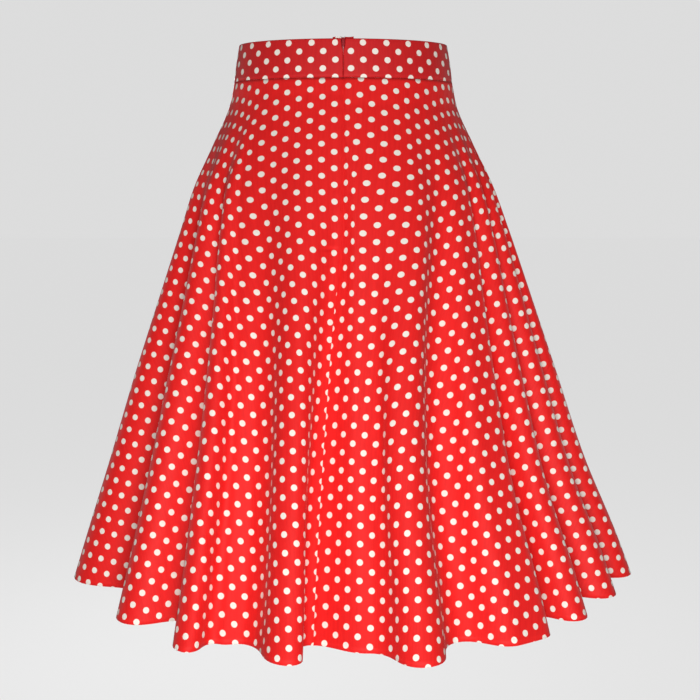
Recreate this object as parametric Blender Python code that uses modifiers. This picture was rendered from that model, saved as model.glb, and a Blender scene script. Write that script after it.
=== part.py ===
"""A red midi swing skirt with white dots, filled out as if worn.

Frame: metres, +Z up, the garment's front faces -Y, its back with the zip faces +Y,
and the wearer's left is +X. The origin is the middle of the waistband, where it is held.
An azimuth is measured in plan from the centre back, positive towards -X.
"""
import math

import bmesh
import bpy
import numpy as np
from mathutils import Matrix, Vector

CM = 0.01

# Driving sizes, in metres. A band edge has its half width and its depth behind and before.
BAND_DEPTH = 0.042
BAND_TOP_HALF = (0.1191, 0.0908, 0.0889)
BAND_LOW_HALF = (0.1254, 0.0958, 0.0929)
SKIRT_DROP = 0.5625
BACK_DIP = 0.02
BAND_WALL = 0.0020
CLOTH_WALL = 0.0015
SEAM_GAP = 0.0003

# How finely the walls are laid out
STEPS_PER_WALL = 4
LEVELS = 15
BAND_STEPS = 14
EVEN_SHARE = 0.75

# The body of the skirt at each height below the waist seam, in centimetres: its mean half
# width, its depth behind and before the axis, how far it leans to -X, how much of the
# hem's fold depth it has there, and how far the fold lines have turned from their azimuths
# at the waist to those at the hem.
FORM = {
    "drop":       (0.0, 2.2, 7.0, 11.7, 16.5, 23.6, 33.1, 42.6, 52.1, 56.6),
    "half_width": (12.54, 12.95, 14.95, 16.95, 18.3, 20.3, 23.05, 25.75, 29.0, 30.45),
    "back":       (9.58, 10.43, 12.5, 14.5, 16.35, 18.8, 22.05, 25.35, 29.2, 31.65),
    "front":      (9.29, 10.05, 11.95, 13.75, 15.45, 17.8, 20.85, 24.05, 27.65, 29.8),
    "lean":       (0.0, 0.0, 0.0, 0.05, 0.15, 0.2, 0.25, 0.4, 0.9, 1.05),
    "folds":      (0.0, 0.0, 0.04, 0.14, 0.28, 0.46, 0.66, 0.83, 0.96, 1.0),
    "turn":       (0.0, 0.0, 0.0, 0.05, 0.22, 0.52, 0.78, 0.91, 0.98, 1.0),
}

# The fold lines, round from the left side seam over the centre back: crest or trough,
# azimuth in degrees at the waist and at the hem, and how far it stands off the mean line
# at the hem in centimetres. The first and last rows of each are troughs on the side seams,
# the row named seam is the trough on the centre back, and a ledge is a flat stretch
# halfway up a flute.
BACK_FOLDS = (
    ("side", -90.0, -90.0, -3.0),
    ("crest", -82.0, -78.0, 2.5),
    ("trough", -72.0, -63.0, -3.9),
    ("crest", -62.0, -49.6, 1.8),
    ("trough", -54.0, -39.6, -3.9),
    ("crest", -47.0, -30.4, 3.3),
    ("trough", -41.5, -27.0, -0.5),
    ("trough", -31.0, -22.6, -1.6),
    ("crest", -15.0, -11.6, 2.7),
    ("seam", 0.0, -7.9, -3.6),
    ("ledge", 4.4, 3.0, -1.4),
    ("crest", 27.0, 11.9, 3.3),
    ("trough", 38.0, 22.2, -2.3),
    ("crest", 47.5, 31.5, 1.6),
    ("crest", 51.5, 37.6, 1.7),
    ("trough", 58.0, 43.8, -3.8),
    ("crest", 64.0, 50.5, 1.4),
    ("trough", 70.5, 58.5, -4.2),
    ("crest", 77.0, 66.0, 1.6),
    ("trough", 81.0, 72.5, -3.8),
    ("crest", 85.0, 80.0, 2.6),
    ("side", 90.0, 90.0, -3.0),
)
FRONT_FOLDS = (
    ("side", 90.0, 90.0, -3.0),
    ("crest", 95.0, 100.0, 2.5),
    ("trough", 100.5, 109.0, -3.4),
    ("crest", 106.5, 118.5, 2.9),
    ("trough", 114.5, 127.5, -3.7),
    ("crest", 124.0, 138.0, 3.1),
    ("trough", 133.5, 147.0, -3.2),
    ("crest", 147.0, 159.0, 2.6),
    ("trough", 162.0, 169.0, -3.6),
    ("crest", 181.0, 180.5, 3.0),
    ("trough", 199.0, 191.5, -2.8),
    ("crest", 217.0, 204.0, 3.2),
    ("trough", 227.0, 213.5, -3.7),
    ("crest", 237.0, 223.0, 2.4),
    ("trough", 246.5, 233.5, -3.3),
    ("crest", 254.0, 242.5, 3.0),
    ("trough", 260.0, 252.0, -3.6),
    ("crest", 265.5, 261.0, 2.5),
    ("side", 270.0, 270.0, -3.0),
)

# The zip opens the centre back from the band's top to this far below the waist seam. Its
# tape lies inside, behind the two edges, which part round the slider at the top.
ZIP_BELOW_SEAM = 0.178
TAPE_HALF = 0.012
TAPE_WALL = 0.0010
TAPE_INSIDE = 0.0026
TAPE_BELOW_TOP = 0.0020
TAPE_SEAM_STEP = 0.0020
TAPE_ROWS = 12
TAPE_COLUMNS = 7
TAPE_FINENESS = 16
PARTING = (
    {"height": 0.00, "half_gap": 0.00015},
    {"height": 0.35, "half_gap": 0.00015},
    {"height": 0.64, "half_gap": 0.00015},
    {"height": 0.74, "half_gap": 0.00245},
    {"height": 1.00, "half_gap": 0.00260},
)
SLIDER_SIZE = (0.0040, 0.0027, 0.0092)
SLIDER_ABOVE_TOP = 0.0010
EAR_SIZE = (0.0007, 0.0024, 0.0022)
EAR_GAP = 0.0004
PULL_SIZE = (0.0020, 0.0008, 0.0105)
PIN_RADIUS = 0.0006
PIN_SIDES = 12

# Colours, roughness and metallic value of each kind of piece
CLOTH_RED = (0.62, 0.012, 0.020)
ZIP_RED = (0.20, 0.008, 0.014)


def smooth_column(name, height):
    """A column of FORM at any height below the waist seam, as a curve through its rows."""
    at = np.array(FORM["drop"]) * CM
    value = np.array(FORM[name])
    slope = np.gradient(value, at)
    height = np.clip(height, at[0], at[-1])
    row = np.clip(np.searchsorted(at, height, side="right") - 1, 0, len(at) - 2)
    width = at[row + 1] - at[row]
    share = (height - at[row]) / width
    start = (1 + 2 * share) * (1 - share) ** 2 * value[row]
    end = share ** 2 * (3 - 2 * share) * value[row + 1]
    leave = share * (1 - share) ** 2 * width * slope[row]
    arrive = share ** 2 * (share - 1) * width * slope[row + 1]
    return start + end + leave + arrive


def mean_line(azimuth, half_width, depth, lean):
    """Plan points of an oval, and the direction that points out of it."""
    turn = np.radians(azimuth)
    point = np.stack([-half_width * np.sin(turn) - lean, depth * np.cos(turn)], -1)
    out = np.stack([-np.sin(turn) / half_width, np.cos(turn) / depth], -1)
    return point, out / np.linalg.norm(out, axis=-1, keepdims=True)


# How far one wall of a flute comes along and across the mean line, for its steepest angle
# in radians, from nearly flat to folded back on itself
STEEPEST = 2.15
BENDS = np.linspace(0.0, STEEPEST, 90)
SWEEP = np.linspace(0.0, math.pi, 181)
WALL_AHEAD = np.cos(BENDS[:, None] * np.sin(SWEEP)).mean(1)
WALL_ASIDE = np.sin(BENDS[:, None] * np.sin(SWEEP)).mean(1)


def running_sum(value):
    """The integral of value over SWEEP, from 0 at its start to 1 at its end."""
    mean = (value[..., 1:] + value[..., :-1]) / 2
    total = np.concatenate([np.zeros(mean.shape[:-1] + (1,)), np.cumsum(mean, -1)], -1)
    return total / np.maximum(total[..., -1:], 1e-9)


def fold_wall(wide, deep, share):
    """One wall of a flute, level with the mean line at both ends, as cloth hangs.

    Its direction turns as bend * sin(pi * share) does, where bend is the steepest angle.
    wide and deep are its size along and across the mean line, share runs from 0 to 1,
    and the answer is how far along and how far across the wall has come, from 0 to 1.
    """
    steep = np.abs(deep) / np.maximum(wide, 1e-9)
    bend = np.interp(steep, WALL_ASIDE / WALL_AHEAD, BENDS)
    bend = np.maximum(bend, 1e-3)[..., None]
    place = np.asarray(share) * (len(SWEEP) - 1)
    low = np.minimum(place.astype(int), len(SWEEP) - 2)
    part = place - low
    along = running_sum(np.cos(bend * np.sin(SWEEP)))
    across = running_sum(np.sin(bend * np.sin(SWEEP)))
    along = along[..., low] * (1 - part) + along[..., low + 1] * part
    across = across[..., low] * (1 - part) + across[..., low + 1] * part
    return along, across


def hanging_cloth(folds, depth_name, levels, steps):
    """The cloth over a table of folds, in plan, as points[level, column], and its azimuths.

    steps is the number of columns for one wall, from each crest or trough to the next.
    """
    at_waist = np.array([row[1] for row in folds])
    at_hem = np.array([row[2] for row in folds])
    stand_off = np.array([row[3] for row in folds]) * CM
    half_width = smooth_column("half_width", levels) * CM
    depth = smooth_column(depth_name, levels) * CM
    lean = smooth_column("lean", levels) * CM
    growth = smooth_column("folds", levels)
    turn = smooth_column("turn", levels)
    line = at_waist + turn[:, None] * (at_hem - at_waist)
    off = growth[:, None] * stand_off
    radius = (half_width + depth) / 2
    wide = radius[:, None] * np.radians(np.diff(line, axis=1))
    share = np.arange(steps) / steps
    along, across = fold_wall(wide, np.diff(off, axis=1), share)
    azimuth = line[:, :-1, None] + along * np.diff(line, axis=1)[:, :, None]
    lift = off[:, :-1, None] + across * np.diff(off, axis=1)[:, :, None]
    azimuth = np.concatenate([azimuth.reshape(len(levels), -1), line[:, -1:]], axis=1)
    lift = np.concatenate([lift.reshape(len(levels), -1), off[:, -1:]], axis=1)
    base, out = mean_line(azimuth, half_width[:, None], depth[:, None], lean[:, None])
    return base + out * lift[..., None], azimuth


def arc_length(plan):
    """How far along the cloth each column is from the first one, at each level."""
    step = np.linalg.norm(np.diff(plan, axis=-2), axis=-1)
    return np.concatenate([np.zeros(step.shape[:-1] + (1,)), np.cumsum(step, -1)], -1)


def with_heights(plan, azimuth, levels):
    """Plan points given their heights. The hem hangs a little lower behind than before."""
    dip = 1 + BACK_DIP * np.cos(np.radians(azimuth))
    height = -BAND_DEPTH / 2 - SEAM_GAP - levels[:, None] * dip
    return np.concatenate([plan, height[..., None]], axis=-1)


def skirt_levels(count):
    """Heights below the waist seam, closer together over the hip."""
    share = np.linspace(0.0, 1.0, count)
    return SKIRT_DROP * (EVEN_SHARE * share + (1 - EVEN_SHARE) * share ** 2)


def cloth_form(folds, depth_name, levels, steps):
    """The whole stretch of cloth of a table of folds: its points, and its middle column."""
    plan, azimuth = hanging_cloth(folds, depth_name, levels, steps)
    names = [row[0] for row in folds]
    middle = names.index("seam") * steps if "seam" in names else plan.shape[1] // 2
    return with_heights(plan, azimuth, levels), middle


def pulled_back(points, gap):
    """A panel's grid with its two side edges moved in by half a seam gap."""
    points = points.copy()
    for edge, inner in ((0, 1), (-1, -2)):
        inward = points[:, inner] - points[:, edge]
        inward /= np.linalg.norm(inward, axis=-1, keepdims=True)
        points[:, edge] += inward * gap / 2
    return points


def new_material(name, colour, roughness, metallic):
    material = bpy.data.materials.new(name)
    material.use_nodes = True
    shader = material.node_tree.nodes["Principled BSDF"]
    shader.inputs["Base Color"].default_value = (*colour, 1.0)
    shader.inputs["Roughness"].default_value = roughness
    shader.inputs["Metallic"].default_value = metallic
    return material


def new_object(name, mesh, collection, colour, roughness=0.75, metallic=0.0):
    piece = bpy.data.objects.new(name, mesh)
    piece.data.materials.append(new_material(name + "_look", colour, roughness, metallic))
    collection.objects.link(piece)
    return piece


def cloth_wall(name, points, thickness, collection, colour):
    """An open grid, points[row, column], made a wall by Solidify on its inner side."""
    rows, columns = points.shape[:2]
    number = np.arange(rows * columns).reshape(rows, columns)
    faces = np.stack([number[:-1, :-1], number[1:, :-1], number[1:, 1:], number[:-1, 1:]], -1)
    mesh = bpy.data.meshes.new(name)
    mesh.from_pydata(points.reshape(-1, 3).tolist(), [], faces.reshape(-1, 4).tolist())
    mesh.update()
    mesh.shade_smooth()
    piece = new_object(name, mesh, collection, colour)
    wall = piece.modifiers.new("wall", "SOLIDIFY")
    wall.thickness = thickness
    wall.offset = -1.0
    wall.use_even_offset = True
    return piece


def band_points(start, end, columns):
    """The outer face of a stretch of waistband, a short cone between two ovals."""
    azimuth = np.linspace(start, end, columns)
    depth = 2 if start >= 90.0 else 1
    rows = []
    for row in PARTING:
        half_width = BAND_LOW_HALF[0] + row["height"] * (BAND_TOP_HALF[0] - BAND_LOW_HALF[0])
        behind = BAND_LOW_HALF[depth] + row["height"] * (BAND_TOP_HALF[depth] - BAND_LOW_HALF[depth])
        plan, _ = mean_line(azimuth, half_width, behind, 0.0)
        height = np.full((columns, 1), BAND_DEPTH * (row["height"] - 0.5))
        points = np.concatenate([plan, height], axis=-1)
        side_gaps = [SEAM_GAP / 2, SEAM_GAP / 2]
        if start == 0.0:
            side_gaps[0] = row["half_gap"]
        if end == 0.0:
            side_gaps[1] = row["half_gap"]
        for edge, inner, gap in ((0, 1, side_gaps[0]), (-1, -2, side_gaps[1])):
            inward = points[inner] - points[edge]
            points[edge] += inward / np.linalg.norm(inward) * gap
        rows.append(points)
    return np.stack(rows)[::-1]


def make_band(collection):
    stretches = (
        ("waistband_back_left", -90.0, 0.0, BAND_STEPS + 1),
        ("waistband_back_right", 0.0, 90.0, BAND_STEPS + 1),
        ("waistband_front", 90.0, 270.0, 2 * BAND_STEPS + 1),
    )
    for name, start, end, columns in stretches:
        cloth_wall(name, band_points(start, end, columns), BAND_WALL, collection, CLOTH_RED)


def make_skirt(collection):
    levels = skirt_levels(LEVELS)
    back, seam = cloth_form(BACK_FOLDS, "back", levels, STEPS_PER_WALL)
    front, _ = cloth_form(FRONT_FOLDS, "front", levels, STEPS_PER_WALL)
    panels = (
        ("skirt_back_left", back[:, :seam + 1]),
        ("skirt_back_right", back[:, seam:]),
        ("skirt_front", front),
    )
    for name, points in panels:
        points = pulled_back(points, SEAM_GAP)
        cloth_wall(name, points, CLOTH_WALL, collection, CLOTH_RED)


def centre_back_strip():
    """Points of the outer face at the centre back, from the band's top down along the zip.

    Each row has TAPE_COLUMNS points, from TAPE_HALF on one side of the seam to the other.
    """
    tops = np.array([BAND_DEPTH / 2 - TAPE_BELOW_TOP, 0.0, TAPE_SEAM_STEP - BAND_DEPTH / 2])
    share = tops / BAND_DEPTH + 0.5
    behind = BAND_LOW_HALF[1] + share * (BAND_TOP_HALF[1] - BAND_LOW_HALF[1])
    half_width = BAND_LOW_HALF[0] + share * (BAND_TOP_HALF[0] - BAND_LOW_HALF[0])
    sides = TAPE_HALF * np.linspace(-1.0, 1.0, TAPE_COLUMNS)
    azimuth = np.degrees(np.arcsin(sides / half_width[:, None]))
    plan, _ = mean_line(azimuth, half_width[:, None], behind[:, None], 0.0)
    height = np.repeat(tops[:, None, None], TAPE_COLUMNS, axis=1)
    band = np.concatenate([plan, height], axis=-1)
    levels = np.linspace(TAPE_SEAM_STEP, ZIP_BELOW_SEAM, TAPE_ROWS)
    cloth, seam = cloth_form(BACK_FOLDS, "back", levels, TAPE_FINENESS)
    arc = arc_length(cloth)
    arc = arc - arc[:, seam:seam + 1]
    strip = [[[np.interp(side, arc[row], cloth[row, :, axis]) for axis in range(3)]
              for side in sides] for row in range(len(levels))]
    return np.concatenate([band, np.array(strip)])


def moved_inside(strip, distance):
    """A strip's points moved square to its face, to the inner side."""
    along = np.gradient(strip, axis=0)
    across = np.gradient(strip, axis=1)
    out = np.cross(along, across)
    out /= np.linalg.norm(out, axis=-1, keepdims=True)
    out *= np.sign(out[..., 1:2])
    return strip - out * distance


def make_tape(collection):
    strip = moved_inside(centre_back_strip(), TAPE_INSIDE)
    cloth_wall("zip_tape", strip, TAPE_WALL, collection, ZIP_RED)


def box_mesh(name, size, centre):
    """A box of the given size, with its middle at centre."""
    mesh = bpy.data.meshes.new(name)
    shape = bmesh.new()
    bmesh.ops.create_cube(shape, size=1.0)
    bmesh.ops.scale(shape, vec=Vector(size), verts=shape.verts)
    bmesh.ops.translate(shape, vec=Vector(centre), verts=shape.verts)
    shape.to_mesh(mesh)
    shape.free()
    return mesh


def pin_mesh(name, radius, length):
    """A round pin along X, with its middle at the origin."""
    mesh = bpy.data.meshes.new(name)
    shape = bmesh.new()
    bmesh.ops.create_cone(shape, cap_ends=True, segments=PIN_SIDES, radius1=radius,
                          radius2=radius, depth=length)
    turn = Matrix.Rotation(math.pi / 2, 3, "Y")
    bmesh.ops.rotate(shape, cent=Vector((0, 0, 0)), matrix=turn, verts=shape.verts)
    shape.to_mesh(mesh)
    shape.free()
    return mesh


def joined(piece, mesh, cutters):
    """Join a mesh, given in the piece's own space, to it by a Boolean union."""
    other = bpy.data.objects.new(mesh.name, mesh)
    other.parent = piece
    other.hide_render = True
    other.display_type = "WIRE"
    cutters.objects.link(other)
    union = piece.modifiers.new(mesh.name, "BOOLEAN")
    union.operation = "UNION"
    union.object = other


def make_slider(collection, cutters):
    """The slider at the band's top, on the tape's outer face, and its pull on a pin."""
    lean = math.atan2(BAND_LOW_HALF[1] - BAND_TOP_HALF[1], BAND_DEPTH)
    wide, deep, tall = SLIDER_SIZE
    back = -BAND_WALL
    pin_out = back + deep + EAR_GAP + PIN_RADIUS
    pin_down = EAR_SIZE[2] / 2
    pivot = bpy.data.objects.new("pull_pivot", None)
    collection.objects.link(pivot)
    top = Vector((0.0, BAND_TOP_HALF[1], BAND_DEPTH / 2))
    out = Vector((0.0, math.cos(lean), math.sin(lean)))
    up = Vector((0.0, -math.sin(lean), math.cos(lean)))
    pivot.location = top + out * pin_out + up * (SLIDER_ABOVE_TOP - pin_down)
    pivot.rotation_euler = (lean, 0.0, 0.0)
    body_centre = (0.0, back + deep / 2 - pin_out, pin_down - tall / 2)
    body = box_mesh("zip_slider", SLIDER_SIZE, body_centre)
    slider = new_object("zip_slider", body, collection, ZIP_RED, 0.35, 0.0)
    slider.parent = pivot
    ear_out = -pin_out + back + deep + EAR_SIZE[1] / 2 - EAR_GAP
    for side in (-1, 1):
        ear_x = side * (PULL_SIZE[0] / 2 + SEAM_GAP + EAR_SIZE[0] / 2)
        joined(slider, box_mesh("slider_ear", EAR_SIZE, (ear_x, ear_out, 0.0)), cutters)
    plate = box_mesh("zip_pull", PULL_SIZE, (0.0, 0.0, -PULL_SIZE[2] / 2))
    pull = new_object("zip_pull", plate, collection, ZIP_RED, 0.35, 0.0)
    pull.parent = pivot
    joined(pull, pin_mesh("pull_pin", PIN_RADIUS, PULL_SIZE[0]), cutters)


def main():
    for item in list(bpy.data.objects):
        bpy.data.objects.remove(item)
    skirt = bpy.data.collections.new("midi_skirt")
    cutters = bpy.data.collections.new("cutters")
    for collection in (skirt, cutters):
        bpy.context.scene.collection.children.link(collection)
    make_band(skirt)
    make_skirt(skirt)
    make_tape(skirt)
    make_slider(skirt, cutters)


main()
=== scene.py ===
# %% [markdown]
# # A red midi skirt with white dots
#
# The skirt hangs filled out, as if worn, with its back and its zip towards the camera.
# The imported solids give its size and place. This lesson dresses them in thin cloth: each
# sewn piece is a surface worked out with numpy from the same named sizes as its solid,
# with the small creases, the seams, the zip and the printed dots added on top.

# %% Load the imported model
import math

import bmesh
import bpy
import numpy as np
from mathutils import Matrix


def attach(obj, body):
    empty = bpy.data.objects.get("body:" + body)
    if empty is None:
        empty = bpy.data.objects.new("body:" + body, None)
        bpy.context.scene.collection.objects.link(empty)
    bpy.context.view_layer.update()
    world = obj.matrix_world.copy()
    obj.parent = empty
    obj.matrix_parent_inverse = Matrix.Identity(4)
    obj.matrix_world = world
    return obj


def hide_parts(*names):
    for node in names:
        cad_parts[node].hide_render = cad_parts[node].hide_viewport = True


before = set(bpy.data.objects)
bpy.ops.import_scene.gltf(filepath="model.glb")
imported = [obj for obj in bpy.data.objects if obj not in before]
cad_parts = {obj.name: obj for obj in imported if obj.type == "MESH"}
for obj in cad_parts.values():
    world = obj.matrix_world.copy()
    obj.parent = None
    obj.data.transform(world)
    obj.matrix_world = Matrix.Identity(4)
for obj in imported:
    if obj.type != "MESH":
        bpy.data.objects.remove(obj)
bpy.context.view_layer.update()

# %% [markdown]
# ## The camera
#
# The camera comes first, because every later choice is judged through it. It stands a
# little below the waistband, 1.6 m behind the garment's middle, with a portrait lens, and
# looks slightly down. The picture is taken to be 700 by 700 dots.

# %% Set the camera
IMAGE_SIDE = 700
FOCAL_DOTS = 1365
CAMERA_PLACE = (0.0, 1.60, -0.124)
SENSOR = 36.0
LOOK_DOWN = 7.38
LOOK_RIGHT = 0.28

lens = bpy.data.cameras.new("view_of_the_back")
lens.sensor_width = SENSOR
lens.lens = SENSOR * FOCAL_DOTS / IMAGE_SIDE
lens.clip_start = 0.05
camera = bpy.data.objects.new("view_of_the_back", lens)
camera.location = CAMERA_PLACE
camera.rotation_euler = (math.radians(90.0 - LOOK_DOWN), 0.0, math.radians(180.0 - LOOK_RIGHT))
bpy.context.scene.collection.objects.link(camera)
bpy.context.scene.camera = camera
bpy.context.scene.view_settings.view_transform = "Standard"
print("lens", round(lens.lens, 1), "mm")

# %% [markdown]
# ## The shape of the skirt
#
# A flared skirt hangs in flutes: cloth that is wider at the hem than the hip falls into
# crests and troughs, each a wall of cloth that swings out and back. A cloth simulation
# could make such flutes, but not these ones in these places. So the body of the skirt is a
# table of ovals by height, and each flute is a row of a second table: where its line is at
# the waist and at the hem, and how far it stands off the oval. The centre-back seam has its
# own column for how it turns, because the zip holds it straight.

# %% Sizes and tables of the skirt
CM = 0.01
MM = 0.001
BAND_DEPTH = 0.042
BAND_TOP_HALF = (0.1191, 0.0908, 0.0889)
BAND_LOW_HALF = (0.1254, 0.0958, 0.0929)
SKIRT_DROP = 0.5625
BACK_DIP = 0.02
SEAM_GAP = 0.0003
# The first five rows in cm, the last three as shares of what they reach at the hem
FORM = {
    "drop":       (0.0, 2.2, 7.0, 11.7, 16.5, 23.6, 33.1, 42.6, 52.1, 56.6),
    "half_width": (12.54, 12.95, 14.95, 16.95, 18.3, 20.3, 23.05, 25.75, 29.0, 30.45),
    "back":       (9.58, 10.43, 12.5, 14.5, 16.35, 18.8, 22.05, 25.35, 29.2, 31.65),
    "front":      (9.29, 10.05, 11.95, 13.75, 15.45, 17.8, 20.85, 24.05, 27.65, 29.8),
    "lean":       (0.0, 0.0, 0.0, 0.05, 0.15, 0.2, 0.25, 0.4, 0.9, 1.05),
    "folds":      (0.0, 0.0, 0.04, 0.14, 0.28, 0.46, 0.66, 0.83, 0.96, 1.0),
    "turn":       (0.0, 0.0, 0.0, 0.05, 0.22, 0.52, 0.78, 0.91, 0.98, 1.0),
    "seam_turn":  (0.0, 0.0, 0.0, 0.01, 0.06, 0.38, 0.61, 0.79, 0.97, 1.0),
}
# Columns: kind, degrees at the waist, degrees at the hem, stand-off at the hem in cm
BACK_FOLDS = (
    ("side", -90.0, -90.0, -3.0),
    ("crest", -82.0, -78.0, 2.5),
    ("trough", -72.0, -63.0, -3.9),
    ("crest", -62.0, -49.6, 1.8),
    ("trough", -54.0, -39.6, -3.9),
    ("crest", -47.0, -30.4, 3.3),
    ("trough", -41.5, -27.0, -0.5),
    ("trough", -31.0, -22.6, -1.6),
    ("crest", -15.0, -11.6, 2.7),
    ("seam", 0.0, -8.8, -3.5),
    ("ledge", 4.4, 3.0, -1.4),
    ("crest", 27.0, 11.9, 3.3),
    ("trough", 38.0, 22.2, -2.3),
    ("crest", 47.5, 31.5, 1.6),
    ("crest", 51.5, 37.6, 1.7),
    ("trough", 58.0, 43.8, -3.8),
    ("crest", 64.0, 50.5, 1.4),
    ("trough", 70.5, 58.5, -4.2),
    ("crest", 77.0, 66.0, 1.6),
    ("trough", 81.0, 72.5, -3.8),
    ("crest", 85.0, 80.0, 2.6),
    ("side", 90.0, 90.0, -3.0),
)
FRONT_FOLDS = (
    ("side", 90.0, 90.0, -3.0),
    ("crest", 95.0, 100.0, 2.5),
    ("trough", 100.5, 109.0, -3.4),
    ("crest", 106.5, 118.5, 2.9),
    ("trough", 114.5, 127.5, -3.7),
    ("crest", 124.0, 138.0, 3.1),
    ("trough", 133.5, 147.0, -3.2),
    ("crest", 147.0, 159.0, 2.6),
    ("trough", 162.0, 169.0, -3.6),
    ("crest", 181.0, 180.5, 3.0),
    ("trough", 199.0, 191.5, -2.8),
    ("crest", 217.0, 204.0, 3.2),
    ("trough", 227.0, 213.5, -3.7),
    ("crest", 237.0, 223.0, 2.4),
    ("trough", 246.5, 233.5, -3.3),
    ("crest", 254.0, 242.5, 3.0),
    ("trough", 260.0, 252.0, -3.6),
    ("crest", 265.5, 261.0, 2.5),
    ("side", 270.0, 270.0, -3.0),
)
WALL_STEPS = 14
LEVELS = 130
EVEN_SHARE = 0.75
NIP_ROWS = np.linspace(0.1747, 0.1823, 8)


def smooth_column(name, height):
    """A column of FORM at any height: a cubic Hermite curve through its rows."""
    at = np.array(FORM["drop"]) * CM
    value = np.array(FORM[name])
    slope = np.gradient(value, at)
    height = np.clip(height, at[0], at[-1])
    row = np.clip(np.searchsorted(at, height, side="right") - 1, 0, len(at) - 2)
    width = at[row + 1] - at[row]
    share = (height - at[row]) / width
    start = (1 + 2 * share) * (1 - share) ** 2 * value[row]
    end = share ** 2 * (3 - 2 * share) * value[row + 1]
    leave = share * (1 - share) ** 2 * width * slope[row]
    arrive = share ** 2 * (share - 1) * width * slope[row + 1]
    return start + end + leave + arrive


def mean_line(azimuth, half_width, depth, lean):
    """An oval in plan: x = -half_width sin(a) - lean, y = depth cos(a), and its outward
    direction (-sin(a) / half_width, cos(a) / depth), made of length one."""
    turn = np.radians(azimuth)
    point = np.stack([-half_width * np.sin(turn) - lean, depth * np.cos(turn)], -1)
    out = np.stack([-np.sin(turn) / half_width, np.cos(turn) / depth], -1)
    return point, out / np.linalg.norm(out, axis=-1, keepdims=True)


# %% [markdown]
# ## One wall of a flute
#
# Between a crest and a trough the cloth doesn't follow a sine curve: it keeps its length,
# so its direction swings out and back smoothly and it can even overhang. A curve whose
# angle is a sine of its length, as a river's bend has, looks just like hanging cloth.

# %% Work out the hanging cloth
STEEPEST_BEND = 2.15
BEND_SAMPLES = 90
SWEEP_SAMPLES = 181
BENDS = np.linspace(0.0, STEEPEST_BEND, BEND_SAMPLES)
SWEEP = np.linspace(0.0, math.pi, SWEEP_SAMPLES)
WALL_AHEAD = np.cos(BENDS[:, None] * np.sin(SWEEP)).mean(1)
WALL_ASIDE = np.sin(BENDS[:, None] * np.sin(SWEEP)).mean(1)


def running_sum(value):
    """The integral of value over SWEEP, from 0 at its start to 1 at its end."""
    mean = (value[..., 1:] + value[..., :-1]) / 2
    total = np.concatenate([np.zeros(mean.shape[:-1] + (1,)), np.cumsum(mean, -1)], -1)
    return total / np.maximum(total[..., -1:], 1e-9)


def fold_wall(wide, deep, share):
    """A wall's place along and across the oval, each from 0 to 1, where its direction is
    bend * sin(pi * share). The bend is the one whose mean rise over run is deep / wide."""
    steep = np.abs(deep) / np.maximum(wide, 1e-9)
    bend = np.interp(steep, WALL_ASIDE / WALL_AHEAD, BENDS)
    bend = np.maximum(bend, 1e-3)[..., None]
    place = np.asarray(share) * (len(SWEEP) - 1)
    low = np.minimum(place.astype(int), len(SWEEP) - 2)
    part = place - low
    along = running_sum(np.cos(bend * np.sin(SWEEP)))
    across = running_sum(np.sin(bend * np.sin(SWEEP)))
    along = along[..., low] * (1 - part) + along[..., low + 1] * part
    across = across[..., low] * (1 - part) + across[..., low + 1] * part
    return along, across


def hanging_cloth(folds, depth_name, levels, steps):
    """points[level, column] of the cloth over a table of folds, steps columns to a wall.
    Each column's azimuth and stand-off run along its wall from one fold line to the next."""
    at_waist = np.array([row[1] for row in folds])
    at_hem = np.array([row[2] for row in folds])
    stand_off = np.array([row[3] for row in folds]) * CM
    half_width = smooth_column("half_width", levels) * CM
    depth = smooth_column(depth_name, levels) * CM
    lean = smooth_column("lean", levels) * CM
    growth = smooth_column("folds", levels)
    on_seam = np.array([row[0] == "seam" for row in folds])
    turn, seam_turn = smooth_column("turn", levels), smooth_column("seam_turn", levels)
    line = at_waist + np.where(on_seam, seam_turn[:, None], turn[:, None]) * (at_hem - at_waist)
    off = growth[:, None] * stand_off
    radius = (half_width + depth) / 2
    wide = radius[:, None] * np.radians(np.diff(line, axis=1))
    share = np.arange(steps) / steps
    along, across = fold_wall(wide, np.diff(off, axis=1), share)
    azimuth = line[:, :-1, None] + along * np.diff(line, axis=1)[:, :, None]
    lift = off[:, :-1, None] + across * np.diff(off, axis=1)[:, :, None]
    azimuth = np.concatenate([azimuth.reshape(len(levels), -1), line[:, -1:]], axis=1)
    lift = np.concatenate([lift.reshape(len(levels), -1), off[:, -1:]], axis=1)
    base, out = mean_line(azimuth, half_width[:, None], depth[:, None], lean[:, None])
    plan = base + out * lift[..., None]
    dip = 1 + BACK_DIP * np.cos(np.radians(azimuth))
    height = -BAND_DEPTH / 2 - SEAM_GAP - levels[:, None] * dip
    return np.concatenate([plan, height[..., None]], axis=-1)


def arc_length(line):
    """How far along the cloth each column is from the first one, at each level."""
    step = np.linalg.norm(np.diff(line, axis=-2), axis=-1)
    return np.concatenate([np.zeros(step.shape[:-1] + (1,)), np.cumsum(step, -1)], -1)


def skirt_levels(count):
    """Heights below the waist seam, closer together over the hip."""
    share = np.linspace(0.0, 1.0, count)
    return SKIRT_DROP * (EVEN_SHARE * share + (1 - EVEN_SHARE) * share ** 2)


levels = np.sort(np.append(skirt_levels(LEVELS), NIP_ROWS))
back_cloth = hanging_cloth(BACK_FOLDS, "back", levels, WALL_STEPS)
front_cloth = hanging_cloth(FRONT_FOLDS, "front", levels, WALL_STEPS)
SEAM_COLUMN = [row[0] for row in BACK_FOLDS].index("seam") * WALL_STEPS
print("hem behind", round(float(arc_length(back_cloth[-1])[-1]), 3), "m,",
      "hem before", round(float(arc_length(front_cloth[-1])[-1]), 3), "m")

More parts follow.
